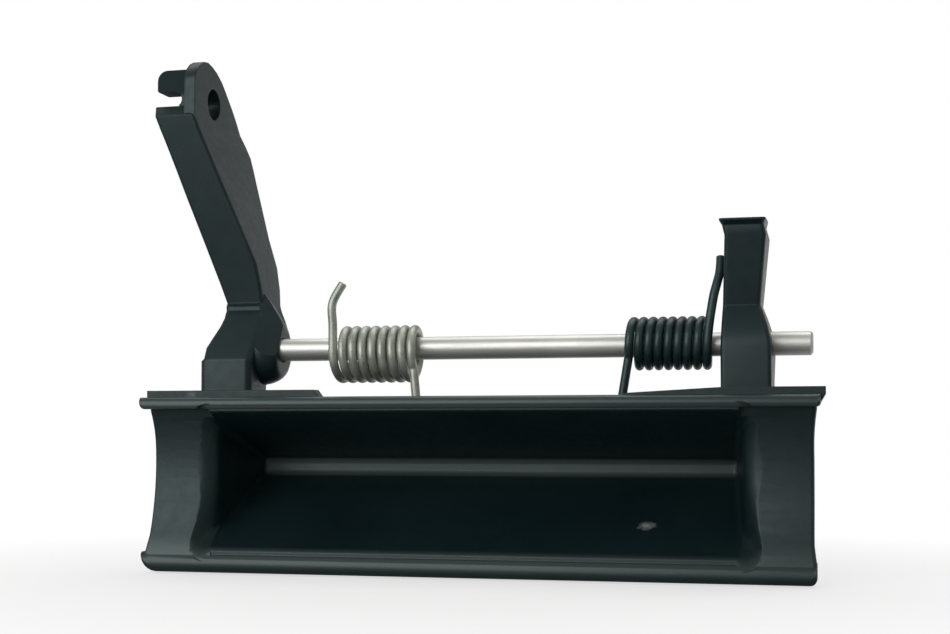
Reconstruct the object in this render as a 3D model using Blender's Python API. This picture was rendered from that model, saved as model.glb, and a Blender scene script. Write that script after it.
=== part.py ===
"""Sprung tailgate handle: a moulded pull cup with two crank arms, its pivot shaft and two torsion springs.

X runs along the pivot shaft, Z is up as on the vehicle, and the pull cup opens towards -Y.
The origin is on the shaft's axis, halfway along the cup.
"""
import bpy
import bmesh
from math import atan, cos, pi, radians, sin, sqrt, tan

MM = 0.001
FLATNESS = 0.02

# Pivot shaft
SHAFT_DIAMETER = 5.6 * MM
SHAFT_CHAMFER = 0.5 * MM
SHAFT_STUB = 9.0 * MM
SHAFT_RECESS = 0.5 * MM
PIVOT_GAP = 0.3 * MM

# Pull cup: its lips, its pocket and the dished cheeks at its ends
CUP_WIDTH = 164.6 * MM
CUP_DROP = 12.0 * MM
CUP_HEIGHT = 42.8 * MM
LIP_FRONT = -15.0 * MM
TOP_LIP_HEIGHT = 2.9 * MM
TOP_LIP_DEPTH = 4.4 * MM
TOP_LIP_RADIUS = 1.2 * MM
TOP_LIP_CROWN = 1.7 * MM
TOP_LIP_CHIN = 0.8 * MM
BOTTOM_LIP_HEIGHT = 4.9 * MM
BOTTOM_LIP_DEPTH = 6.0 * MM
BOTTOM_LIP_RADIUS = 2.3 * MM
BOTTOM_LIP_CROWN = 2.6 * MM
BOTTOM_LIP_CHIN = 1.6 * MM
BOTTOM_LIP_LEFT_INSET = 0.75 * MM
BOTTOM_LIP_RIGHT_INSET = 1.15 * MM
TOP_CORNER_RADIUS = 1.0 * MM
LEFT_CORNER_RADIUS = 3.4 * MM
RIGHT_CORNER_RADIUS = 1.4 * MM
CUP_WALL = 2.6 * MM
CORNER_LIMIT = 0.4
CROWN_LIMIT = 0.6
CHIN_LIMIT = 0.35
POCKET_DEPTH = 32.2 * MM
POCKET_DRAFT = radians(7.5)
POCKET_FLOOR_HEIGHT = 3.6 * MM
POCKET_FLOOR_DROP = 15.6 * MM
POCKET_TOP_CORNER = 2.0 * MM
POCKET_BOTTOM_CORNER = 2.0 * MM
POCKET_FLOOR_CORNER = 1.2 * MM
POCKET_FLOOR_ROUND = 1.0 * MM
CHEEK_WIDTH = 15.1 * MM
CHEEK_STEP = 0.8 * MM
CHEEK_DISH = 4.8 * MM
CHEEK_TOP_RISE = 1.8 * MM
CHEEK_OVERHANG = 1.7 * MM
CHEEK_FOOT = 0.7 * MM
CHEEK_FOOT_HEIGHT = 5.0 * MM
CHEEK_HEAD = 0.8 * MM
CHEEK_HEAD_HEIGHT = 9.0 * MM
CHEEK_ROOT = 1.9 * MM
CHEEK_FLARE = 4.5 * MM
CHEEK_FLARE_DEPTH = 3.4 * MM
EAR_THICKNESS = 2.5 * MM
EAR_ROUND = 0.8 * MM

# Stiffening ribs that stand behind the top lip and carry the arms' feet
RIB_FRONT = 2.8 * MM
RIB_THICKNESS = 3.6 * MM
RIB_HEIGHT = 1.7 * MM
RIB_SINK = 1.75 * MM
LEFT_RIB_LENGTH = 45.9 * MM
LEFT_RIB_RAMP = 1.3 * MM
LEFT_RIB_MARGIN = 0.8 * MM
RIGHT_RIB_LENGTH = 44.8 * MM
RIGHT_RIB_RISE = 23.4 * MM
RIGHT_RIB_OVERHANG = 1.0 * MM

# Left arm: a foot round the shaft, a sloping front, a ledged neck and a long leaning crank.
# Its sections in mm: height, outer and inner side as distances from the cup's left end, front, back,
# flare of the inner side's rear, corner radius.
LEFT_ARM_SECTIONS = (
    (-8.8, 13.3, 26.8, -9.0, 3.2, 0.0, 1.7),
    (-2.9, 13.3, 26.8, -9.0, 8.4, 1.6, 1.7),
    (-2.3, 13.9, 26.8, -8.7, 8.6, 1.8, 1.6),
    (0.4, 14.0, 26.9, -7.2, 9.0, 2.6, 1.2),
    (3.3, 15.2, 26.9, -5.4, 9.9, 3.0, 1.0),
    (6.0, 16.4, 26.9, -3.8, 10.8, 2.6, 0.9),
    (8.2, 16.9, 26.9, -2.4, 11.5, 1.6, 0.9),
    (9.1, 16.9, 26.8, -1.9, 11.8, 1.2, 0.9),
    (10.2, 16.8, 26.7, -0.9, 12.2, 0.7, 0.9),
    (11.1, 16.7, 26.6, -0.9, 12.5, 0.4, 0.9),
    (12.1, 16.6, 26.5, 0.0, 12.8, 0.1, 0.9),
    (16.5, 15.2, 26.1, -0.8, 13.6, 0.0, 0.9),
    (22.2, 13.3, 25.2, -2.0, 13.9, 0.0, 0.9),
    (30.0, 10.7, 22.3, -3.7, 15.2, 0.1, 0.9),
    (38.3, 7.9, 19.2, -5.5, 17.6, 0.3, 0.9),
    (45.6, 5.5, 16.4, -7.0, 19.8, 0.5, 0.9),
    (49.2, 4.3, 15.1, -7.8, 20.8, 0.6, 0.9),
    (52.7, 3.1, 13.8, -8.5, 21.3, 0.8, 0.9),
    (55.8, 2.0, 12.7, -9.2, 21.0, 0.6, 0.9),
    (58.8, 1.0, 11.7, -9.8, 20.2, 0.3, 0.9),
    (61.6, 0.1, 11.7, -7.6, 18.6, 0.0, 0.9),
)

# Barrel that runs from the left arm's foot along the shaft: distance from the foot in mm, radius in mm,
# and the share by which it stands taller than its radius. Its front stays inside the radius by the hollow.
BARREL_SECTIONS = ((-3.0, 8.6, 0.75), (-0.4, 8.6, 0.7), (0.8, 8.6, 0.53), (1.7, 8.45, 0.41),
                   (2.5, 8.2, 0.3), (3.5, 7.8, 0.18), (4.3, 7.3, 0.1), (4.9, 6.7, 0.04), (5.2, 6.1, 0.0),
                   (5.3, 5.4, 0.0))
BARREL_INSET = 0.3 * MM
BARREL_FALL = 0.5
BARREL_HOLLOW = 0.24
BARREL_STEPS = 40

# Coring of the crank from behind, in pockets between cross ribs
CORE_WALL = 2.5 * MM
CORE_RIB = 1.8 * MM
CORE_POCKETS = 3
CORE_BOTTOM = 19.0 * MM
CORE_TOP = 57.4 * MM

# Head of the crank: an eye plate with a bore for the latch rod, and a lug over an open slot.
# The plate's outline in mm: depth and height, from the front edge over the top to the back.
EYE_OUTLINE = ((-9.4, 58.2), (-9.4, 67.6), (-8.9, 69.2), (-7.7, 70.9), (-5.9, 72.4), (-3.7, 73.4),
               (-1.3, 73.7), (1.4, 73.2), (4.5, 72.1), (7.4, 70.5), (9.8, 68.6), (12.1, 66.6), (14.6, 64.4),
               (16.6, 62.4), (18.0, 60.9), (18.6, 58.2))
EYE_THICKNESS = 2.9 * MM
EYE_PROUD = 0.15 * MM
EYE_BOSS_RADIUS = 6.0 * MM
EYE_BOSS_HEIGHT = 1.7 * MM
EYE_BORE = 8.0 * MM
EYE_Y = 2.4 * MM
EYE_Z = 63.6 * MM
SLOT_HEIGHT = 3.6 * MM
SLOT_END = 1.4 * MM
LUG_REACH = 8.0 * MM
LUG_HEIGHT = 5.6 * MM
LUG_TIP_RADIUS = 2.7 * MM
LUG_HEEL_RADIUS = 0.7 * MM
LUG_FRONT = -7.4 * MM
LUG_DEPTH = 5.4 * MM
LUG_ROOT = 1.0 * MM

# Right arm: a shorter post whose head hooks forward
RIGHT_ARM_INSET = 11.1 * MM
RIGHT_FOOT_WIDTH = 11.55 * MM
RIGHT_FOOT_BOTTOM = -8.8 * MM
RIGHT_FOOT_TOP = -1.0 * MM
RIGHT_FOOT_FRONT = -9.0 * MM
RIGHT_FOOT_BACK = 8.4 * MM
FOOT_BACK = 3.2 * MM
RIGHT_WAIST_HEIGHT = 8.8 * MM
RIGHT_WAIST_NARROWING = 2.7 * MM
RIGHT_WAIST_FRONT = -4.6 * MM
RIGHT_WAIST_STEP = 0.2 * MM
RIGHT_POST_STEP = 0.95 * MM
RIGHT_POST_NARROWING = 1.1 * MM
RIGHT_POST_FRONT = -8.0 * MM
RIGHT_POST_BACK = 6.0 * MM
RIGHT_HOOK_HEIGHT = 24.8 * MM
RIGHT_BAND_HEIGHT = 2.3 * MM
RIGHT_LIP_HEIGHT = 0.9 * MM
RIGHT_POST_TOP = 28.5 * MM
RIGHT_HOOK_REACH = 1.4 * MM
RIGHT_HOOK_FLARE = 1.1 * MM
RIGHT_HOOK_INSET = 0.5 * MM
RIGHT_HOOK_BACK = 0.5 * MM
ARM_EDGE_RADIUS = 0.9 * MM

# Torsion springs about the shaft: each has a free leg up and a leg down onto the cup's top wall.
# The free legs in mm, from their tips down to the coil: offsets from the coil's first point.
WIRE_SEAT_GAP = 0.3 * MM
COIL_TURNS = 8
COIL_STEPS = 18
COIL_END_STEPS = 2
LEFT_WIRE = 1.8 * MM
LEFT_COIL_DIAMETER = 14.2 * MM
LEFT_COIL_PITCH = 2.5 * MM
LEFT_COIL_OFFSET = 20.5 * MM
LEFT_COIL_SAG = 1.3 * MM
LEFT_LEG = ((2.3, 1.0, 16.0), (-0.1, 0.0, 11.0), (0.0, 0.0, 5.5))
LEFT_LEG_LEAN = 1.0 * MM
RIGHT_WIRE = 1.9 * MM
RIGHT_COIL_DIAMETER = 12.8 * MM
RIGHT_COIL_PITCH = 2.29 * MM
RIGHT_COIL_OFFSET = 3.25 * MM
RIGHT_COIL_SAG = -0.4 * MM
RIGHT_LEG = ((2.8, 4.0, 20.5), (2.8, 3.2, 18.4), (2.6, 2.4, 16.2), (2.1, 1.6, 14.0), (1.5, 0.9, 11.5),
             (1.0, 0.4, 8.5), (0.5, 0.0, 5.0), (0.15, 0.0, 2.0))
RIGHT_LEG_LEAN = -2.1 * MM

# Sizes that follow from the ones above
CUP_TOP = -CUP_DROP
CUP_BOTTOM = CUP_TOP - CUP_HEIGHT
MOUTH_TOP = CUP_TOP - TOP_LIP_HEIGHT
MOUTH_BOTTOM = CUP_BOTTOM + BOTTOM_LIP_HEIGHT
CHEEK_END = CUP_WIDTH / 2 - CHEEK_OVERHANG
MOUTH_HALF = CHEEK_END - CHEEK_WIDTH
FLOOR_Y = LIP_FRONT + POCKET_DEPTH
FLOOR_TOP = CUP_TOP - POCKET_FLOOR_DROP
FLOOR_BOTTOM = FLOOR_TOP - POCKET_FLOOR_HEIGHT
FLOOR_HALF = MOUTH_HALF - POCKET_DEPTH * tan(POCKET_DRAFT)
TOP_SLOPE = (FLOOR_TOP - MOUTH_TOP) / POCKET_DEPTH
BOTTOM_SLOPE = (FLOOR_BOTTOM - MOUTH_BOTTOM) / POCKET_DEPTH
BORE_RADIUS = SHAFT_DIAMETER / 2 + PIVOT_GAP
LEFT_END = -CUP_WIDTH / 2
CRANK_TOP = LEFT_ARM_SECTIONS[-1][0] * MM
CRANK_INNER = LEFT_END + LEFT_ARM_SECTIONS[-1][2] * MM
LEFT_FOOT_OUTER = LEFT_END + LEFT_ARM_SECTIONS[0][1] * MM
LEFT_FOOT_INNER = LEFT_END + LEFT_ARM_SECTIONS[0][2] * MM
RIGHT_FOOT_OUTER = CUP_WIDTH / 2 - RIGHT_ARM_INSET
RIGHT_FOOT_INNER = RIGHT_FOOT_OUTER - RIGHT_FOOT_WIDTH
RIGHT_WAIST_OUTER = RIGHT_FOOT_OUTER - RIGHT_WAIST_NARROWING
RIGHT_POST_OUTER = RIGHT_FOOT_OUTER - RIGHT_POST_NARROWING
RIGHT_POST_INNER = RIGHT_FOOT_INNER + RIGHT_POST_STEP
FLARE_START = LIP_FRONT + CHEEK_STEP + CHEEK_DISH + CHEEK_FLARE_DEPTH


def clear_scene():
    """Remove every object that the file holds."""
    for item in list(bpy.data.objects):
        bpy.data.objects.remove(item, do_unlink=True)


def finish(name, colour, roughness, metallic=0.0):
    """A Principled material of one colour."""
    material = bpy.data.materials.new(name)
    material.use_nodes = True
    shader = material.node_tree.nodes["Principled BSDF"]
    shader.inputs["Base Color"].default_value = (*colour, 1.0)
    shader.inputs["Roughness"].default_value = roughness
    shader.inputs["Metallic"].default_value = metallic
    return material


def add_mesh(name, bm, smooth_angle=30.0):
    """Make a mesh object from bmesh geometry, smooth except at its sharp edges."""
    bmesh.ops.recalc_face_normals(bm, faces=bm.faces)
    mesh = bpy.data.meshes.new(name)
    bm.to_mesh(mesh)
    bm.free()
    mesh.shade_smooth()
    mesh.set_sharp_from_angle(angle=radians(smooth_angle))
    item = bpy.data.objects.new(name, mesh)
    bpy.context.collection.objects.link(item)
    return item


def loft(name, loops, paired=False):
    """A closed solid through loops of equal length, capped at both ends.

    Paired caps are strips between each loop's first half and its second half, for ends that aren't flat.
    """
    bm = bmesh.new()
    rings = [[bm.verts.new(point) for point in loop] for loop in loops]
    count = len(rings[0])
    for near, far in zip(rings, rings[1:]):
        for i in range(count):
            j = (i + 1) % count
            bm.faces.new((near[i], near[j], far[j], far[i]))
    for ring in (rings[0], rings[-1]):
        if paired:
            for i in range(count // 2 - 1):
                bm.faces.new((ring[i], ring[i + 1], ring[-2 - i], ring[-1 - i]))
        else:
            bm.faces.new(ring)
    bmesh.ops.connect_verts_nonplanar(bm, angle_limit=radians(FLATNESS), faces=bm.faces)
    return add_mesh(name, bm)


def prism_x(name, outline, x0, x1):
    """Extrude a (y, z) outline along X."""
    return loft(name, [[(x, y, z) for y, z in outline] for x in (x0, x1)])


def prism_y(name, outline, y0, y1):
    """Extrude an (x, z) outline along Y."""
    return loft(name, [[(x, y, z) for x, z in outline] for y in (y0, y1)])


def turned(name, profile, y=0.0, z=0.0, steps=48):
    """Turn an (x, radius) profile about an axis along X through (y, z)."""
    ring = [2 * pi * (i + 0.5) / steps for i in range(steps)]
    return loft(name, [[(x, y + r * cos(a), z + r * sin(a)) for a in ring] for x, r in profile])


def arc(u, v, radius, start, end, steps):
    """Points of an arc about (u, v), between two angles in degrees."""
    angles = [radians(start + (end - start) * i / steps) for i in range(steps + 1)]
    return [(u + radius * cos(a), v + radius * sin(a)) for a in angles]


def rounded_box(u0, u1, v0, v1, radii, steps=4):
    """A rectangle's outline with rounded corners, counter-clockwise from its lower right corner."""
    lower_right, upper_right, upper_left, lower_left = radii
    return (arc(u1 - lower_right, v0 + lower_right, lower_right, -90, 0, steps)
            + arc(u1 - upper_right, v1 - upper_right, upper_right, 0, 90, steps)
            + arc(u0 + upper_left, v1 - upper_left, upper_left, 90, 180, steps)
            + arc(u0 + lower_left, v0 + lower_left, lower_left, 180, 270, steps))


def combine(base, others, operation):
    """Join or cut a base object with others, which stay in the file as hidden guides."""
    for other in others:
        modifier = base.modifiers.new(f"{operation.lower()} {other.name}", "BOOLEAN")
        modifier.operation = operation
        modifier.solver = "EXACT"
        modifier.object = other
        other.hide_render = True
        other.display_type = "WIRE"


def blend(a, b, share):
    """The value part of the way from a to b."""
    return a + (b - a) * share


def cheek_dish(z):
    """How far a cheek's front lies behind the lips at a height: a hollow, deepest above its middle."""
    share = min(max((z - MOUTH_BOTTOM) / (MOUTH_TOP - MOUTH_BOTTOM), 0.0), 1.0)
    deepest = 1 / (1 + sqrt(CHEEK_TOP_RISE / CHEEK_DISH))
    return CHEEK_STEP + CHEEK_DISH * (1 - ((share - deepest) / deepest) ** 2)


def dish_heights(low_margin, high_margin):
    """Heights that divide a cheek evenly, from its foot to its top, with a margin at each end."""
    steps = 16
    return [blend(MOUTH_BOTTOM - low_margin, MOUTH_TOP + high_margin, i / steps) for i in range(steps + 1)]


def pocket_section(y, wall, samples):
    """The pocket's outline at a depth as (x, z, outward x, outward z), grown by a wall."""
    share = (y - LIP_FRONT) / POCKET_DEPTH
    half = blend(MOUTH_HALF, FLOOR_HALF, share) + wall / cos(POCKET_DRAFT)
    top = blend(MOUTH_TOP, FLOOR_TOP, share) + wall / cos(atan(TOP_SLOPE))
    bottom = blend(MOUTH_BOTTOM, FLOOR_BOTTOM, share) - wall / cos(atan(BOTTOM_SLOPE))
    room = (top - bottom) * CORNER_LIMIT
    top_corner = min(blend(POCKET_TOP_CORNER, POCKET_FLOOR_CORNER, share) + wall, room)
    bottom_corner = min(blend(POCKET_BOTTOM_CORNER, POCKET_FLOOR_CORNER, share) + wall, room)
    turns = [pi / 2 * i / 4 for i in range(5)]
    points = []
    for side in (1, -1):
        low = [(half - bottom_corner * (1 - sin(a)), bottom + bottom_corner * (1 - cos(a)), sin(a), -cos(a))
               for a in turns]
        high = [(half - top_corner * (1 - cos(a)), top - top_corner * (1 - sin(a)), cos(a), sin(a))
                for a in turns]
        start, end = low[-1][1], high[0][1]
        flank = [(half, blend(start, end, i / samples), 1.0, 0.0) for i in range(1, samples)]
        run = low + flank + high
        if side < 0:
            run = [(-x, z, -nx, nz) for x, z, nx, nz in reversed(run)]
        points += run
    return points


def flare_out(z, turn):
    """How far an end wall has flared out at a height: a turn of 0 is inside, 90 degrees is at the cheek."""
    hollow = (cheek_dish(z) - CHEEK_STEP) / CHEEK_DISH
    return CHEEK_FLARE * blend(sin(turn), 1 - cos(turn), hollow)


def make_pocket_cutter():
    """The finger pocket as a solid, with a rounded floor and a mouth that follows the lips and cheeks."""
    samples = 12
    mouth = pocket_section(LIP_FRONT, 0.0, samples)
    floor = pocket_section(FLOOR_Y, 0.0, samples)

    def wall_at(near, far, y):
        share = (y - LIP_FRONT) / POCKET_DEPTH
        return blend(near[0], far[0], share), blend(near[1], far[1], share)

    rings = []
    for turn in (0, 30, 60, 90):
        inset = POCKET_FLOOR_ROUND * (1 - sin(radians(turn)))
        y = FLOOR_Y - POCKET_FLOOR_ROUND * (1 - cos(radians(turn)))
        ring = []
        for near, far in zip(mouth, floor):
            x, z = wall_at(near, far, y)
            ring.append((x - inset * far[2], y, z - inset * far[3]))
        rings.append(ring)
    for turn in (0, 20, 40, 60, 75, 90):
        angle = radians(turn)
        ring = []
        for near, far in zip(mouth, floor):
            nx, nz = near[2:]
            lip_radius = TOP_LIP_RADIUS if nz > 0 else BOTTOM_LIP_RADIUS
            cheek = LIP_FRONT + cheek_dish(near[1])
            side = nx ** 2
            front = blend(LIP_FRONT, cheek, side)
            depth = blend(lip_radius, FLARE_START - cheek, side)
            out = blend(lip_radius * (1 - cos(angle)), flare_out(near[1], angle), side)
            y = front + depth * (1 - sin(angle))
            x, z = wall_at(near, far, y)
            ring.append((x + out * nx, y, z + out * nz))
        rings.append(ring)
    rings.append([(x, LIP_FRONT - POCKET_DEPTH / 4, z) for x, _, z in rings[-1]])
    return loft("pocket_cutter", rings)


def make_cup_body():
    """The outside of the pocket, a wall's thickness round it, flaring out behind the cheeks."""
    samples = 10
    front = LIP_FRONT + CHEEK_STEP + EAR_ROUND / 2
    loops = []
    for y, flare in ((front, CHEEK_FLARE), (FLARE_START, 0.0), (FLOOR_Y + CUP_WALL, 0.0)):
        section = pocket_section(y, CUP_WALL, samples)
        loops.append([(x + flare * nx * abs(nx), y, z) for x, z, nx, _ in section])
    return loft("handle_moulding", loops)


def make_dish_cutters():
    """The hollow in front of each cheek, which clears the pocket's walls back to the cheek plates."""
    heights = dish_heights(EAR_ROUND / 2, EAR_ROUND / 2)
    outline = [(LIP_FRONT + cheek_dish(z) + EAR_ROUND / 2, z) for z in heights]
    outline += [(LIP_FRONT - CHEEK_DISH, heights[-1]), (LIP_FRONT - CHEEK_DISH, heights[0])]
    near = MOUTH_HALF - POCKET_FLOOR_CORNER
    far = CUP_WIDTH / 2 + CHEEK_WIDTH
    return [prism_x("left_dish", outline, -far, -near), prism_x("right_dish", outline, near, far)]


def make_lip(name, z0, z1, depth, crown, chin, left, right):
    """A lip along the cup's mouth, with a crown and a chin, and its lower corners rounded at the ends.

    Left and right are each an inset from the cup's end and a corner radius.
    """
    left_end = left[0] - CUP_WIDTH / 2
    right_end = CUP_WIDTH / 2 - right[0]
    left_corner, right_corner = left[1], right[1]
    steps = 5
    turns = [pi / 2 * i / steps for i in range(steps + 1)]
    stations = [(left_end + left_corner * (1 - cos(a)), left_corner * (1 - sin(a))) for a in turns]
    stations += [(right_end - right_corner * (1 - cos(a)), right_corner * (1 - sin(a)))
                 for a in reversed(turns)]
    loops = []
    for x, rise in stations:
        low = z0 + rise
        top = min(crown, (z1 - low) * CROWN_LIMIT)
        bottom = min(chin, (z1 - low) * CHIN_LIMIT)
        outline = rounded_box(LIP_FRONT, LIP_FRONT + depth, low, z1, (bottom / 2, bottom / 2, top, bottom))
        loops.append([(x, y, z) for y, z in outline])
    return loft(name, loops)


def make_ear(name, side):
    """A dished cheek: a plate with a hollow front, from the pocket's end out to the cup's end."""
    front = [(LIP_FRONT + cheek_dish(z), z) for z in dish_heights(CHEEK_STEP, CHEEK_ROOT)]
    back = [(y + EAR_THICKNESS, z) for y, z in reversed(front)]

    def end_at(z):
        foot = min(1.0, max(0.0, MOUTH_BOTTOM + CHEEK_FOOT_HEIGHT - z) / CHEEK_FOOT_HEIGHT)
        head = min(1.0, max(0.0, z - MOUTH_TOP + CHEEK_HEAD_HEIGHT) / CHEEK_HEAD_HEIGHT)
        return CHEEK_END + CHEEK_FOOT * foot ** 2 + CHEEK_HEAD * head ** 2

    def ring(inset, shrink):
        points = [(side * (end_at(z) - inset), y + shrink, z) for y, z in front]
        return points + [(side * (end_at(z) - inset), y - shrink, z) for y, z in back]

    inner = [(side * (MOUTH_HALF - POCKET_FLOOR_CORNER - EAR_ROUND), y, z) for y, z in front + back]
    bend = 1 - cos(pi / 4)
    loops = [inner, ring(EAR_ROUND, 0.0), ring(EAR_ROUND * bend, EAR_ROUND * bend), ring(0.0, EAR_ROUND)]
    return loft(name, loops, paired=True)


def make_ribs():
    """The low ribs behind the top lip, one under each arm."""
    front = LIP_FRONT + RIB_FRONT
    half = CUP_WIDTH / 2
    crest = CUP_TOP + RIB_HEIGHT
    foot = CUP_TOP - RIB_SINK
    left_end = LEFT_RIB_LENGTH - half
    right_start = half - RIGHT_RIB_LENGTH
    left = [(-half + LEFT_RIB_MARGIN, foot), (left_end, foot), (left_end, CUP_TOP),
            (left_end - LEFT_RIB_RAMP, crest), (-half + LEFT_RIB_MARGIN, crest)]
    right = [(right_start, foot), (half, foot), (half + RIGHT_RIB_OVERHANG, CUP_TOP),
             (half + RIGHT_RIB_OVERHANG, crest), (right_start + RIGHT_RIB_RISE, crest),
             (right_start, CUP_TOP + RIB_HEIGHT / 4)]
    return [prism_y("left_rib", left, front, front + RIB_THICKNESS),
            prism_y("right_rib", right, front, front + RIB_THICKNESS)]


def level(z, x0, x1, y0, y1, radius, flare=0.0):
    """One horizontal section of an arm, whose inner side may flare towards its rear."""
    middle = (x0 + x1) / 2
    points = rounded_box(x0, x1, y0, y1, (radius,) * 4, 3)
    return [(x + flare * (y - y0) / (y1 - y0) * (x > middle), y, z) for x, y in points]


def wall_top(y):
    """Height of the cup's sloping top wall, outside, at a depth."""
    return MOUTH_TOP + TOP_SLOPE * (y - LIP_FRONT) + CUP_WALL / cos(atan(TOP_SLOPE))


def left_arm_at(z):
    """The left arm's outer side, inner side, front and back at a height."""
    for low, high in zip(LEFT_ARM_SECTIONS, LEFT_ARM_SECTIONS[1:]):
        if z <= high[0] * MM:
            break
    share = (z / MM - low[0]) / (high[0] - low[0])
    outer, inner, front, back = [blend(a, b, share) * MM for a, b in zip(low[1:5], high[1:5])]
    return LEFT_END + outer, LEFT_END + inner, front, back


def make_left_arm():
    """Foot, neck and leaning crank, as sections from the cup's wall up to the crank's chamfered top."""
    sunk = wall_top(FOOT_BACK) - CUP_WALL / 2
    levels = []
    for height, outer, inner, front, back, flare, radius in LEFT_ARM_SECTIONS:
        sides = [LEFT_END + outer * MM, LEFT_END + inner * MM]
        sides += [size * MM for size in (front, back, radius, flare)]
        if not levels:
            levels.append(level(sunk, *sides))
        levels.append(level(height * MM, *sides))
    return loft("left_arm", levels)


def make_barrel():
    """The barrel beside the left arm's foot, whose front falls away from the plane of the foot's slope."""
    low = LEFT_ARM_SECTIONS[2]
    high = LEFT_ARM_SECTIONS[6]
    run = high[3] - low[3]
    rise = high[0] - low[0]
    length = sqrt(run ** 2 + rise ** 2)
    normal = (-rise / length, run / length)
    slope_plane = (low[3] * normal[0] + low[0] * normal[1]) * MM

    def reach(radius, taller, turn):
        crown = taller * max(0.0, sin(turn)) ** 2
        return radius * MM * (1 + crown - BARREL_HOLLOW * min(0.0, cos(turn)) ** 2)

    def crossing(radius, taller, plane, inside, outside):
        """The turn at which the egg-shaped outline meets a plane."""
        for _ in range(30):
            turn = (inside + outside) / 2
            past = (cos(turn) * normal[0] + sin(turn) * normal[1]) * reach(radius, taller, turn) > plane
            inside, outside = (inside, turn) if past else (turn, outside)
        return inside

    facing = pi + atan(normal[1] / normal[0])
    loops = []
    for along, radius, taller in BARREL_SECTIONS:
        plane = slope_plane - BARREL_INSET - BARREL_FALL * max(0.0, along) * MM
        upper = crossing(radius, taller, plane, 0.0, facing)
        lower = crossing(radius, taller, plane, 2 * pi, facing)
        turns = [blend(lower, 2 * pi + upper, i / BARREL_STEPS) for i in range(BARREL_STEPS + 1)]
        ring = [(reach(radius, taller, a) * cos(a), reach(radius, taller, a) * sin(a)) for a in turns]
        first, last = ring[0], ring[-1]
        ring += [(blend(last[0], first[0], i / 4), blend(last[1], first[1], i / 4)) for i in (1, 2, 3)]
        loops.append([(LEFT_FOOT_INNER + along * MM, y, z) for y, z in ring])
    return loft("left_barrel", loops)


def make_crank_cores():
    """Pockets that hollow the crank from behind, parted by cross ribs."""
    length = (CORE_TOP - CORE_BOTTOM + CORE_RIB) / CORE_POCKETS
    cores = []
    for index in range(CORE_POCKETS):
        start = CORE_BOTTOM + index * length
        loops = []
        for z in (start, start + length - CORE_RIB):
            outer, inner, front, back = left_arm_at(z)
            outline = rounded_box(outer + CORE_WALL, inner - CORE_WALL, front + CORE_WALL, back + CORE_WALL,
                                  (CORE_RIB / 2,) * 4, 3)
            loops.append([(x, y, z) for x, y in outline])
        cores.append(loft(f"crank_core_{index + 1}", loops))
    return cores


def make_head():
    """Eye plate, the boss behind its bore, and the lug that overhangs the slot beside it."""
    plate_left = CRANK_INNER - EYE_THICKNESS
    outline = [(y * MM, z * MM) for y, z in EYE_OUTLINE]
    plate = prism_x("eye_plate", outline, plate_left, CRANK_INNER + EYE_PROUD)
    boss = turned("eye_boss", [(plate_left - EYE_BOSS_HEIGHT, EYE_BOSS_RADIUS),
                               (plate_left + EYE_THICKNESS / 2, EYE_BOSS_RADIUS)], EYE_Y, EYE_Z, 32)
    slot_radius = SLOT_HEIGHT / 2
    slot_top = CRANK_TOP + SLOT_HEIGHT
    lug_top = slot_top + LUG_HEIGHT
    tip = plate_left - LUG_REACH
    root = plate_left + EYE_THICKNESS / 2
    outline = [(root, CRANK_TOP - LUG_ROOT), (root, lug_top)]
    outline += arc(tip + LUG_TIP_RADIUS, lug_top - LUG_TIP_RADIUS, LUG_TIP_RADIUS, 90, 180, 6)
    outline += arc(tip + LUG_HEEL_RADIUS, slot_top + LUG_HEEL_RADIUS, LUG_HEEL_RADIUS, 180, 270, 3)
    outline += arc(plate_left - SLOT_END - slot_radius, CRANK_TOP + slot_radius, slot_radius, 90, -60, 6)
    return [plate, boss, prism_y("slot_lug", outline, LUG_FRONT, LUG_FRONT + LUG_DEPTH)]


def make_right_arm():
    """Foot, waist and hooked post, as sections from the cup's wall upwards."""
    sunk = wall_top(FOOT_BACK) - CUP_WALL / 2
    foot = (RIGHT_FOOT_INNER, RIGHT_FOOT_OUTER, RIGHT_FOOT_FRONT)
    levels = [level(sunk, *foot, FOOT_BACK, ARM_EDGE_RADIUS),
              level(RIGHT_FOOT_BOTTOM, *foot, FOOT_BACK, ARM_EDGE_RADIUS),
              level(RIGHT_FOOT_TOP, *foot, RIGHT_FOOT_BACK, ARM_EDGE_RADIUS)]
    for share in (0.25, 0.5, 0.75, 1.0):
        levels.append(level(blend(RIGHT_FOOT_TOP, RIGHT_WAIST_HEIGHT, share),
                            RIGHT_FOOT_INNER + RIGHT_WAIST_STEP * share,
                            blend(RIGHT_FOOT_OUTER, RIGHT_WAIST_OUTER, share ** 1.5),
                            blend(RIGHT_FOOT_FRONT, RIGHT_WAIST_FRONT, share ** 1.5),
                            blend(RIGHT_FOOT_BACK, RIGHT_POST_BACK, share), ARM_EDGE_RADIUS))
    hook_front = RIGHT_POST_FRONT - RIGHT_HOOK_REACH
    band_top = RIGHT_HOOK_HEIGHT + RIGHT_BAND_HEIGHT
    for height, flare, inset, front, back in (
            (RIGHT_HOOK_HEIGHT, 0.0, 0.0, RIGHT_POST_FRONT, RIGHT_POST_BACK),
            (band_top, RIGHT_HOOK_FLARE / 2, RIGHT_HOOK_INSET, RIGHT_POST_FRONT, RIGHT_POST_BACK / 2),
            (RIGHT_POST_TOP - RIGHT_LIP_HEIGHT / 2, RIGHT_HOOK_FLARE, 0.0, hook_front, RIGHT_HOOK_BACK),
            (RIGHT_POST_TOP, RIGHT_HOOK_FLARE, 0.0, hook_front, RIGHT_HOOK_BACK)):
        levels.append(level(height, RIGHT_POST_INNER - flare, RIGHT_POST_OUTER - inset, front, back,
                            ARM_EDGE_RADIUS))
    return loft("right_arm", levels)


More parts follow.
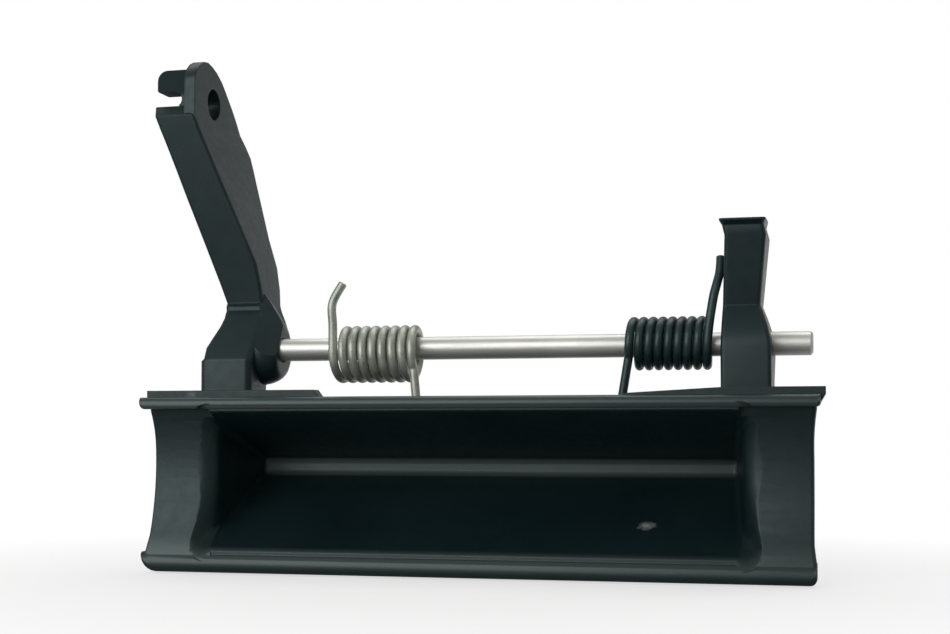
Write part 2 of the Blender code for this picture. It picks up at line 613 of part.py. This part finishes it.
def make_handle(material):
    """The one-piece moulding: cup, lips, cheeks, ribs and arms, with its pocket and bores cut."""
    handle = make_cup_body()
    top_corner = (0.0, TOP_CORNER_RADIUS)
    joined = [make_lip("top_lip", MOUTH_TOP, CUP_TOP, TOP_LIP_DEPTH, TOP_LIP_CROWN, TOP_LIP_CHIN,
                       top_corner, top_corner),
              make_lip("bottom_lip", CUP_BOTTOM, MOUTH_BOTTOM, BOTTOM_LIP_DEPTH, BOTTOM_LIP_CROWN,
                       BOTTOM_LIP_CHIN, (BOTTOM_LIP_LEFT_INSET, LEFT_CORNER_RADIUS),
                       (BOTTOM_LIP_RIGHT_INSET, RIGHT_CORNER_RADIUS)),
              make_ear("left_cheek", -1), make_ear("right_cheek", 1)]
    joined += make_ribs()
    joined += [make_left_arm(), make_barrel(), make_right_arm()]
    joined += make_head()
    reach = CUP_WIDTH
    bore = turned("shaft_bore", [(-reach, BORE_RADIUS), (reach, BORE_RADIUS)])
    eye_ends = (CRANK_INNER - EYE_BORE, CRANK_INNER + EYE_BORE)
    eye_bore = turned("eye_bore", [(x, EYE_BORE / 2) for x in eye_ends], EYE_Y, EYE_Z, 32)
    combine(handle, make_dish_cutters(), "DIFFERENCE")
    combine(handle, joined, "UNION")
    combine(handle, [make_pocket_cutter(), bore, eye_bore] + make_crank_cores(), "DIFFERENCE")
    handle.data.materials.append(material)
    return handle


def make_shaft(material):
    """The straight pivot shaft, chamfered at both ends."""
    radius = SHAFT_DIAMETER / 2
    left = LEFT_FOOT_OUTER + SHAFT_RECESS
    right = RIGHT_FOOT_OUTER + SHAFT_STUB
    shaft = turned("pivot_shaft", [(left, radius - SHAFT_CHAMFER), (left + SHAFT_CHAMFER, radius),
                                   (right - SHAFT_CHAMFER, radius), (right, radius - SHAFT_CHAMFER)])
    shaft.data.materials.append(material)
    return shaft


def make_spring(name, wire, diameter, pitch, start, sag, leg, lean, material):
    """A coil about the shaft whose wire comes down a free leg, and leaves down to the cup's top wall.

    A negative pitch winds the coil towards -X.
    """
    radius = (diameter - wire) / 2
    points = [(start + x * MM, y * MM - radius, z * MM) for x, y, z in leg]
    for i in range(COIL_TURNS * COIL_STEPS + COIL_END_STEPS + 1):
        turn = 2 * pi * i / COIL_STEPS
        points.append((start + pitch * i / COIL_STEPS, -radius * cos(turn), -sag - radius * sin(turn)))
    end_x, end_y, end_z = points[-1]
    seat = wall_top(end_y - wire / 2) + WIRE_SEAT_GAP
    points += [(end_x + lean * share, end_y, blend(end_z, seat, share)) for share in (0.5, 1.0)]
    curve = bpy.data.curves.new(name, "CURVE")
    curve.dimensions = "3D"
    curve.bevel_depth = wire / 2
    curve.bevel_resolution = 3
    curve.use_fill_caps = True
    spline = curve.splines.new("POLY")
    spline.points.add(len(points) - 1)
    for knot, point in zip(spline.points, points):
        knot.co = (*point, 1.0)
    spring = bpy.data.objects.new(name, curve)
    bpy.context.collection.objects.link(spring)
    curve.materials.append(material)
    return spring


def main():
    clear_scene()
    black = finish("black moulding", (0.022, 0.028, 0.028), 0.45)
    steel = finish("bright steel", (0.62, 0.61, 0.58), 0.28, 1.0)
    zinc = finish("grey zinc", (0.42, 0.42, 0.39), 0.42, 1.0)
    dark = finish("black spring", (0.03, 0.035, 0.035), 0.35, 0.3)
    make_handle(black)
    make_shaft(steel)
    make_spring("return_spring_left", LEFT_WIRE, LEFT_COIL_DIAMETER, LEFT_COIL_PITCH,
                LEFT_FOOT_INNER + LEFT_COIL_OFFSET, LEFT_COIL_SAG, LEFT_LEG, LEFT_LEG_LEAN, zinc)
    make_spring("return_spring_right", RIGHT_WIRE, RIGHT_COIL_DIAMETER, -RIGHT_COIL_PITCH,
                RIGHT_FOOT_INNER - RIGHT_COIL_OFFSET, RIGHT_COIL_SAG, RIGHT_LEG, RIGHT_LEG_LEAN, dark)


main()
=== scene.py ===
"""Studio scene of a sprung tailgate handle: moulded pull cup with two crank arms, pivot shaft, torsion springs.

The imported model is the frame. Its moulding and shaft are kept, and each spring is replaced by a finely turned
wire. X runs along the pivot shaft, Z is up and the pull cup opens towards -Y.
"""
from math import cos, pi, radians, sin

import bmesh
import bpy
from mathutils import Euler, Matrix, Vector


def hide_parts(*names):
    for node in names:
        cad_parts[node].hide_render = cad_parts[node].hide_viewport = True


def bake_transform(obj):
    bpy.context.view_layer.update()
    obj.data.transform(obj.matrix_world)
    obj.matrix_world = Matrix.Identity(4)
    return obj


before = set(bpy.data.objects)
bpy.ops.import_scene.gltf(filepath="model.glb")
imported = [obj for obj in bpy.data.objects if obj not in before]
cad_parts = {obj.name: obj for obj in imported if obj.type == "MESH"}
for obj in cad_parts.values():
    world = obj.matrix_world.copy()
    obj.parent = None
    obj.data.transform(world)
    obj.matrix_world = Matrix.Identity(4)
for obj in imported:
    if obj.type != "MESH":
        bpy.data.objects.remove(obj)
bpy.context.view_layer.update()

MM = 0.001

# Springs, in mm. The coils and legs are the CAD source's, and the wires are thicker, so that the turns lie close
COIL_TURNS = 8
COIL_STEPS = 48
COIL_END = 40.0
SPRINGS = {
    "return_spring_left": {
        "wire": 2.16, "diameter": 14.2, "pitch": 2.5, "start": -35.0, "sag": 1.3, "lean": 1.0,
        "leg": ((2.3, 1.0, 16.0), (-0.1, 0.0, 11.0), (0.0, 0.0, 5.5)), "blend": (-32.0, -16.5),
        "slot": "grey_zinc",
    },
    "return_spring_right": {
        "wire": 2.12, "diameter": 12.8, "pitch": -2.29, "start": 56.4, "sag": -0.4, "lean": -2.1,
        "leg": ((2.8, 4.0, 20.5), (2.8, 3.2, 18.4), (2.6, 2.4, 16.2), (2.1, 1.6, 14.0), (1.5, 0.9, 11.5),
                (1.0, 0.4, 8.5), (0.5, 0.0, 5.0), (0.15, 0.0, 2.0)), "blend": (55.0, 40.0),
        "slot": "black_spring",
    },
}
FREE_LEG_STEPS = 8
SEATED_LEG_STEPS = 6
WIRE_SIDES = 20
WIRE_END_ROUND = 0.22

# The cup's top wall under the seated legs, in mm: its inner side's height at the front, slope, upright thickness
WALL_FRONT = -15.0
WALL_HEIGHT = -14.9
WALL_SLOPE = -0.3944
WALL_THICKNESS = 2.795
WIRE_SEAT_GAP = 0.3

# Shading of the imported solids: sharp above this angle in degrees, split corners joined within this distance
SHARP_ANGLE = 32.0
WELD = 0.000002
EDGE_SOFTNESS = 0.0004

# Places on the moulding, in metres. The lips carry a painted highlight from LIP_EDGE to LIP_FRONT. It is weaker
# under the cup's foot, and painted shade dims it towards the cup's right end. The lug is matt. The strip at the
# pocket's end carries a painted sheen, as bands of depth and height. The scuff is a pale mark and the glint a
# painted highlight on the top lip, each with a centre and half sizes.
LIP_EDGE = -0.0124
LIP_FRONT = -0.0142
CUP_FOOT = -0.0540
CUP_FOOT_RISE = 0.0028
HIGHLIGHT_FADE = (0.015, 0.075, 1.0, 0.55)
LUG_FOOT = 0.0640
LUG_SIDE = -0.0738
LUG_FADE = 0.001
STRIP_DEPTH = ((0.0158, 0.0166, 0.0, 1.0), (0.0176, 0.0180, 1.0, 0.0))
STRIP_HEIGHT = ((-0.0330, -0.0326, 0.0, 1.0), (-0.0270, -0.0266, 1.0, 0.0))
SCUFF = ((0.0417, -0.0024, -0.0425), (0.0022, 0.0017, 0.003))
# Painted highlight: a small glint on the top lip's edge
GLINT = ((-0.0697, -0.0126, -0.0113), (0.0016, 0.0012, 0.001))

# Light: strength of the fill, grey of the room in front as metal sees it, where the white backdrop starts and is
# full (depth on the floor in metres, and direction in the world), and how far round the object and how strongly
# the floor shows its shadow
WHITE = (1.0, 1.0, 1.0, 1.0)
FILL = 0.34
FILL_COLOUR = (1.0, 1.0, 0.97, 1.0)
FRONT_GREY = 0.12
BACKDROP_FLOOR = (-0.05, 0.25)
BACKDROP_SKY = (0.88, 1.0)
SHADOW_FADE = (0.085, 0.20, 0.36, 0.0)
PANELS = {
    "key box": {"place": (-0.58, -1.11, 0.34), "size": (1.08, 1.1), "radiance": 2.3},
    "top box": {"place": (0.0, 0.40, 1.05), "size": (1.2, 0.7), "radiance": 1.6},
}
FLOOR_HEIGHT = -0.0552
FLOOR_REACH = 4.0

# Camera that was fitted to the photograph's view
IMAGE_WIDTH = 950
FOCAL_PIXELS = 1600
CAMERA_PLACE = (0.0954, -0.3774, -0.0209)
CAMERA_TURN = (92.13, 0.0, 14.26)
CAMERA_RISE = 0.06
CAMERA_NEAR = 0.01
SENSOR = 36.0


class Graph:
    """A material's or world's node tree, with short calls to add and join nodes."""

    def __init__(self, owner):
        owner.use_nodes = True
        self.owner = owner
        self.tree = owner.node_tree
        self.shader = self.tree.nodes.get("Principled BSDF")

    def add(self, kind, inputs=None, **settings):
        node = self.tree.nodes.new(kind)
        for key, value in settings.items():
            setattr(node, key, value)
        for key, value in (inputs or {}).items():
            self.put(node, key, value)
        return node

    def put(self, node, key, value):
        if isinstance(value, bpy.types.NodeSocket):
            self.tree.links.new(value, node.inputs[key])
        else:
            node.inputs[key].default_value = value

    def place(self):
        return self.add("ShaderNodeTexCoord").outputs["Object"]

    def axis(self, name, vector=None):
        return self.add("ShaderNodeSeparateXYZ", {"Vector": vector or self.place()}).outputs[name]

    def stretch(self, scale):
        return self.add("ShaderNodeMapping", {"Vector": self.place(), "Scale": scale}).outputs["Vector"]

    def noise(self, scale, detail=4.0, roughness=0.5, vector=None):
        inputs = {"Scale": scale, "Detail": detail, "Roughness": roughness, "Vector": vector or self.place()}
        return self.add("ShaderNodeTexNoise", inputs).outputs["Fac"]

    def ramp(self, value, low, high, start, end, **settings):
        inputs = {"Value": value, "From Min": low, "From Max": high, "To Min": start, "To Max": end}
        return self.add("ShaderNodeMapRange", inputs, **settings).outputs["Result"]

    def combine(self, operation, first, *others):
        """Several values multiplied, added or compared, two at a time."""
        for value in others:
            first = self.add("ShaderNodeMath", {0: first, 1: value}, operation=operation).outputs["Value"]
        return first

    def mix_value(self, factor, first, second):
        return self.add("ShaderNodeMix", {0: factor, 2: first, 3: second}, data_type="FLOAT").outputs[0]

    def mix(self, factor, first, second):
        return self.add("ShaderNodeMix", {0: factor, 6: first, 7: second}, data_type="RGBA").outputs[2]

    def mix_shader(self, factor, first, second):
        return self.add("ShaderNodeMixShader", {0: factor, 1: first, 2: second}).outputs[0]

    def emission(self, strength):
        return self.add("ShaderNodeEmission", {"Color": WHITE, "Strength": strength}).outputs[0]

    def band(self, name, rise, fall):
        """One inside a band of an axis and none outside it, with soft edges."""
        value = self.axis(name)
        return self.combine("MULTIPLY", self.ramp(value, *rise), self.ramp(value, *fall))

    def spot(self, centre, size, ragged):
        """A ragged oval mark that fades out from its middle."""
        near = self.add("ShaderNodeVectorMath", {0: self.place(), 1: centre}, operation="SUBTRACT").outputs["Vector"]
        near = self.add("ShaderNodeVectorMath", {0: near, 1: size}, operation="DIVIDE").outputs["Vector"]
        reach = self.add("ShaderNodeVectorMath", {0: near}, operation="LENGTH").outputs["Value"]
        return self.ramp(self.combine("ADD", reach, ragged), 0.1, 1.1, 1.0, 0.0)

    def bump(self, height, distance, strength, normal=None):
        node = self.add("ShaderNodeBump", {"Height": height, "Distance": distance, "Strength": strength})
        if normal:
            self.put(node, "Normal", normal)
        return node.outputs["Normal"]

    def backdrop(self, vector, edges):
        """How much of the white backdrop stands at a place or direction: none in front, all of it behind."""
        return self.ramp(self.axis("Y", vector), *edges, 0.0, 1.0, interpolation_type="SMOOTHSTEP")


def moulded_black():
    """Satin moulded plastic: near black with a cold cast, fine grain, faint flow blotches, a pale scuff, and painted
    highlights on the lips, the pocket's strip and a glint.
    """
    g = Graph(bpy.data.materials.new("moulded black"))
    blotch = g.ramp(g.noise(35.0, 3.0), 0.35, 0.65, 0.0, 1.0)
    smear = g.noise(60.0, 4.0, 0.6, g.stretch((0.25, 1.0, 1.0)))
    ragged = g.ramp(g.noise(1100.0, 3.0), 0.3, 0.7, -0.25, 0.25)
    # Painted shade: the painted highlights on the lips and the strip weaken towards the cup's right end
    side = g.ramp(g.axis("X"), *HIGHLIGHT_FADE)
    # Painted highlight on the lips' rounded fronts, weaker under the cup's foot; the same zone is also made glossier
    lip_highlight = g.combine("MULTIPLY", g.ramp(g.axis("Y"), LIP_EDGE, LIP_FRONT, 0.0, 1.0),
                        g.ramp(smear, 0.3, 0.7, 0.75, 1.0), side,
                        g.ramp(g.axis("Z"), CUP_FOOT, CUP_FOOT + CUP_FOOT_RISE, 0.2, 1.0))
    # Painted sheen: a lighter band on the pocket's back strip, where it catches the light
    strip = g.combine("MULTIPLY", g.band("Y", *STRIP_DEPTH), g.band("Z", *STRIP_HEIGHT), side,
                      g.ramp(smear, 0.3, 0.7, 0.8, 1.0))
    matt = g.combine("MULTIPLY", g.ramp(g.axis("Z"), LUG_FOOT, LUG_FOOT + LUG_FADE, 0.0, 1.0),
                     g.ramp(g.axis("X"), LUG_SIDE, LUG_SIDE + LUG_FADE, 1.0, 0.0))

    colour = g.mix(blotch, (0.0034, 0.0118, 0.0136, 1.0), (0.0060, 0.0164, 0.0184, 1.0))
    # The lips are painted lighter as a highlight
    colour = g.mix(lip_highlight, colour, (0.044, 0.055, 0.056, 1.0))
    # The strip is painted lighter as a sheen
    colour = g.mix(strip, colour, (0.048, 0.060, 0.062, 1.0))
    # Painted highlight: a small glint on the top lip
    colour = g.mix(g.spot(*GLINT, ragged), colour, (0.12, 0.13, 0.13, 1.0))
    g.put(g.shader, "Base Color", g.mix(g.spot(*SCUFF, ragged), colour, (0.24, 0.26, 0.27, 1.0)))

    rough = g.ramp(g.noise(420.0, 5.0, 0.6), 0.3, 0.7, 0.36, 0.46)
    rough = g.mix_value(lip_highlight, rough, 0.28)
    g.put(g.shader, "Roughness", g.mix_value(matt, rough, 0.8))
    soft = g.add("ShaderNodeBevel", {"Radius": EDGE_SOFTNESS}, samples=6).outputs["Normal"]
    g.put(g.shader, "Normal", g.bump(g.noise(2600.0, 2.0), 0.00003, 0.5, soft))
    g.shader.inputs["Specular IOR Level"].default_value = 0.5
    g.shader.inputs["Specular Tint"].default_value = (0.84, 1.0, 1.0, 1.0)
    return g.owner


def bright_steel():
    """Drawn bright steel with faint lengthwise lines."""
    g = Graph(bpy.data.materials.new("bright steel"))
    lines = g.noise(1.0, 6.0, 0.6, g.stretch((90.0, 2400.0, 2400.0)))
    cloud = g.ramp(g.noise(70.0), 0.3, 0.7, 0.0, 1.0)
    g.put(g.shader, "Base Color", g.mix(cloud, (0.68, 0.68, 0.64, 1.0), (0.80, 0.80, 0.76, 1.0)))
    g.put(g.shader, "Roughness", g.ramp(lines, 0.3, 0.7, 0.36, 0.50))
    g.put(g.shader, "Normal", g.bump(lines, 0.00001, 0.3))
    g.shader.inputs["Metallic"].default_value = 0.82
    return g.owner


def grey_zinc():
    """Dull zinc-plated wire with a faint yellow-green cast and dark specks."""
    g = Graph(bpy.data.materials.new("grey zinc"))
    cloud = g.noise(260.0, 5.0, 0.6)
    speck = g.noise(1500.0, 3.0)
    base = g.mix(g.ramp(cloud, 0.35, 0.65, 0.0, 1.0), (0.37, 0.40, 0.35, 1.0), (0.56, 0.59, 0.52, 1.0))
    g.put(g.shader, "Base Color", g.mix(g.ramp(speck, 0.60, 0.72, 0.0, 0.6), base, (0.12, 0.13, 0.12, 1.0)))
    g.put(g.shader, "Roughness", g.ramp(cloud, 0.3, 0.7, 0.38, 0.52))
    g.put(g.shader, "Normal", g.bump(speck, 0.00002, 0.5))
    g.shader.inputs["Metallic"].default_value = 0.75
    return g.owner


def black_spring():
    """Black phosphated wire with an oily sheen."""
    g = Graph(bpy.data.materials.new("black spring"))
    cloud = g.ramp(g.noise(240.0, 5.0, 0.6), 0.35, 0.65, 0.0, 1.0)
    speck = g.noise(1700.0, 3.0)
    g.put(g.shader, "Base Color", g.mix(cloud, (0.004, 0.013, 0.014, 1.0), (0.013, 0.028, 0.030, 1.0)))
    g.put(g.shader, "Roughness", g.ramp(speck, 0.3, 0.7, 0.30, 0.46))
    g.put(g.shader, "Normal", g.bump(speck, 0.00002, 0.5))
    g.shader.inputs["Specular IOR Level"].default_value = 0.7
    g.shader.inputs["Specular Tint"].default_value = (0.80, 1.0, 1.0, 1.0)
    return g.owner


def pale_floor():
    """A pale floor, white to the camera, to glass and to metal, which keeps the shadow near the object.

    The surface that takes the shadow fades into plain white away from the object, and reflections see the
    floor in front of the object as the dim room that it lies in.
    """
    g = Graph(bpy.data.materials.new("pale floor"))
    g.shader.inputs["Base Color"].default_value = (0.9, 0.9, 0.9, 1.0)
    g.shader.inputs["Roughness"].default_value = 0.9
    plain = g.shader.outputs[0]
    rays = g.add("ShaderNodeLightPath").outputs
    distance = g.add("ShaderNodeVectorMath", {0: g.place()}, operation="LENGTH").outputs["Value"]
    near = g.mix_shader(g.ramp(distance, *SHADOW_FADE), g.emission(1.0), plain)
    mirrored = g.mix_shader(g.backdrop(g.place(), BACKDROP_FLOOR), g.emission(FRONT_GREY), near)
    glossy = g.mix_shader(rays["Is Glossy Ray"], plain, mirrored)
    direct = g.combine("MAXIMUM", rays["Is Camera Ray"], rays["Is Transmission Ray"])
    g.put(g.tree.nodes["Material Output"], "Surface", g.mix_shader(direct, glossy, near))
    return g.owner


def surround(scene):
    """White all round for the camera and glass, white behind the object for reflections, and a plain fill light."""
    scene.world = bpy.data.worlds.new("surround")
    g = Graph(scene.world)
    rays = g.add("ShaderNodeLightPath").outputs
    behind = g.backdrop(g.add("ShaderNodeTexCoord").outputs["Generated"], BACKDROP_SKY)
    seen = g.combine("MAXIMUM", rays["Is Camera Ray"], rays["Is Transmission Ray"],
                     g.combine("MULTIPLY", rays["Is Glossy Ray"], behind))
    fill = g.add("ShaderNodeBackground", {"Color": FILL_COLOUR, "Strength": FILL}).outputs[0]
    white = g.add("ShaderNodeBackground", {"Color": WHITE, "Strength": 1.0}).outputs[0]
    g.put(g.tree.nodes["World Output"], "Surface", g.mix_shader(seen, fill, white))


def smooth_path(points, steps):
    """Catmull-Rom points through a polyline."""
    ends = [points[0]] + list(points) + [points[-1]]
    path = []
    for a, b, c, d in zip(ends, ends[1:], ends[2:], ends[3:]):
        for i in range(steps):
            t = i / steps
            path.append(0.5 * ((2 * b) + (c - a) * t + (2 * a - 5 * b + 4 * c - d) * t ** 2
                               + (3 * b - a - 3 * c + d) * t ** 3))
    return path + [points[-1]]


def spring_points(spec):
    """The wire's centre line in mm: free leg, coil, and leg down to the cup's top wall."""
    radius = (spec["diameter"] - spec["wire"]) / 2
    start = spec["start"]
    leg = [Vector((start + x, y - radius, z)) for x, y, z in spec["leg"]]
    coil = []
    count = round(COIL_TURNS * COIL_STEPS + COIL_END / 360 * COIL_STEPS)
    for i in range(count + 1):
        turn = 2 * pi * i / COIL_STEPS
        coil.append(Vector((start + spec["pitch"] * i / COIL_STEPS, -radius * cos(turn),
                            -spec["sag"] - radius * sin(turn))))
    end = coil[-1]
    seat = WALL_HEIGHT + WALL_SLOPE * (end.y - spec["wire"] / 2 - WALL_FRONT) + WALL_THICKNESS + WIRE_SEAT_GAP
    foot = [Vector((end.x + spec["lean"] * share, end.y, end.z + (seat - end.z) * share)) for share in (0.5, 1.0)]
    free = smooth_path(leg + [coil[0]], FREE_LEG_STEPS)[:-1]
    seated = smooth_path([end] + foot, SEATED_LEG_STEPS)[1:]
    return free + coil + seated


def wire_mesh(name, centre, diameter):
    """A round wire along a centre line in mm, with cut ends slightly rounded off."""
    bm = bmesh.new()
    radius = diameter / 2
    side = (centre[1] - centre[0]).normalized().orthogonal().normalized()
    stations = []
    for i, point in enumerate(centre):
        before = centre[max(i - 1, 0)]
        after = centre[min(i + 1, len(centre) - 1)]
        turn = (after - before).normalized()
        side = (side - turn * side.dot(turn)).normalized()
        stations.append((point, turn, side.copy(), radius))
    first, last = stations[0], stations[-1]
    round_off = radius * WIRE_END_ROUND
    stations[0] = (first[0] + first[1] * round_off, first[1], first[2], radius)
    stations.insert(0, (first[0], first[1], first[2], radius - round_off))
    stations[-1] = (last[0] - last[1] * round_off, last[1], last[2], radius)
    stations.append((last[0], last[1], last[2], radius - round_off))
    rings = []
    for point, turn, u, size in stations:
        v = turn.cross(u)
        rings.append([bm.verts.new((point + (u * cos(a) + v * sin(a)) * size) * MM)
                      for a in (2 * pi * k / WIRE_SIDES for k in range(WIRE_SIDES))])
    for near, far in zip(rings, rings[1:]):
        for k in range(WIRE_SIDES):
            j = (k + 1) % WIRE_SIDES
            bm.faces.new((near[k], near[j], far[j], far[k])).smooth = True
    bm.faces.new(rings[0][::-1])
    bm.faces.new(rings[-1])
    bmesh.ops.recalc_face_normals(bm, faces=bm.faces)
    return add_mesh(name, bm)


def add_mesh(name, bm):
    """An object of a bmesh, which is freed."""
    mesh = bpy.data.meshes.new(name)
    bm.to_mesh(mesh)
    bm.free()
    item = bpy.data.objects.new(name, mesh)
    bpy.context.scene.collection.objects.link(item)
    return item


def make_springs(finishes):
    """Both springs, each in place of its CAD node, which is hidden."""
    for node, spec in SPRINGS.items():
        wire = wire_mesh(node + "_wire", spring_points(spec), spec["wire"])
        wire.data.materials.append(finishes[spec["slot"]])
        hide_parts(node)
        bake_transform(wire)


def soft_shading():
    """Modifier tree that shades a solid smooth across its flat facets and keeps its sharp edges."""
    tree = bpy.data.node_groups.new("soft shading", "GeometryNodeTree")
    for way in ("INPUT", "OUTPUT"):
        tree.interface.new_socket("Geometry", in_out=way, socket_type="NodeSocketGeometry")
    source, bare, welded, smooth, sharpened, result = (tree.nodes.new(kind) for kind in (
        "NodeGroupInput", "GeometryNodeRemoveAttribute", "GeometryNodeMergeByDistance",
        "GeometryNodeSetShadeSmooth", "GeometryNodeSetShadeSmooth", "NodeGroupOutput"))
    chain = (source, bare, welded, smooth, sharpened, result)
    for near, far in zip(chain, chain[1:]):
        tree.links.new(near.outputs[0], far.inputs[0])
    bare.inputs["Name"].default_value = "custom_normal"
    welded.inputs["Distance"].default_value = WELD
    sharpened.domain = "EDGE"
    sharpened.inputs["Shade Smooth"].default_value = False
    angle = tree.nodes.new("GeometryNodeInputMeshEdgeAngle")
    sharp = tree.nodes.new("FunctionNodeCompare")
    sharp.operation = "GREATER_THAN"
    sharp.inputs["B"].default_value = radians(SHARP_ANGLE)
    tree.links.new(angle.outputs["Unsigned Angle"], sharp.inputs["A"])
    tree.links.new(sharp.outputs["Result"], sharpened.inputs["Selection"])
    return tree


def dress(node, material, shading):
    """Give a CAD node one material in every slot, and smooth shading between its sharp edges."""
    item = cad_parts[node]
    item.modifiers.new("soft shading", "NODES").node_group = shading
    item.modifiers.new("even shading", "WEIGHTED_NORMAL").keep_sharp = True
    for slot in item.material_slots:
        slot.link = "OBJECT"
        slot.material = material


def make_floor():
    """A square pale floor under the cup."""
    bm = bmesh.new()
    for x, y in ((-1, -1), (1, -1), (1, 1), (-1, 1)):
        bm.verts.new((x * FLOOR_REACH, y * FLOOR_REACH, FLOOR_HEIGHT))
    bm.faces.new(bm.verts)
    floor = add_mesh("floor", bm)
    floor.data.materials.append(pale_floor())


def make_panel(name, place, size, radiance):
    """A soft box of a given size and radiance, aimed at the origin."""
    light = bpy.data.lights.new(name, "AREA")
    light.shape = "RECTANGLE"
    light.size, light.size_y = size
    light.energy = radiance * pi * size[0] * size[1]
    item = bpy.data.objects.new(name, light)
    item.location = place
    item.rotation_euler = (-Vector(place)).to_track_quat("-Z", "Y").to_euler()
    bpy.context.scene.collection.objects.link(item)


def make_camera(scene):
    """The camera at the photograph's viewing angle."""
    data = bpy.data.cameras.new("camera")
    data.sensor_width = SENSOR
    data.lens = FOCAL_PIXELS / IMAGE_WIDTH * SENSOR
    data.shift_y = CAMERA_RISE
    data.clip_start = CAMERA_NEAR
    camera = bpy.data.objects.new("camera", data)
    camera.location = CAMERA_PLACE
    camera.rotation_euler = Euler([radians(angle) for angle in CAMERA_TURN])
    scene.collection.objects.link(camera)
    scene.camera = camera


def main():
    scene = bpy.context.scene
    shading = soft_shading()
    dress("handle_moulding", moulded_black(), shading)
    dress("pivot_shaft", bright_steel(), shading)
    make_springs({"grey_zinc": grey_zinc(), "black_spring": black_spring()})
    make_floor()
    surround(scene)
    for name, spec in PANELS.items():
        make_panel(name, **spec)
    make_camera(scene)
    bpy.context.scene.view_settings.view_transform = "Standard"


main()
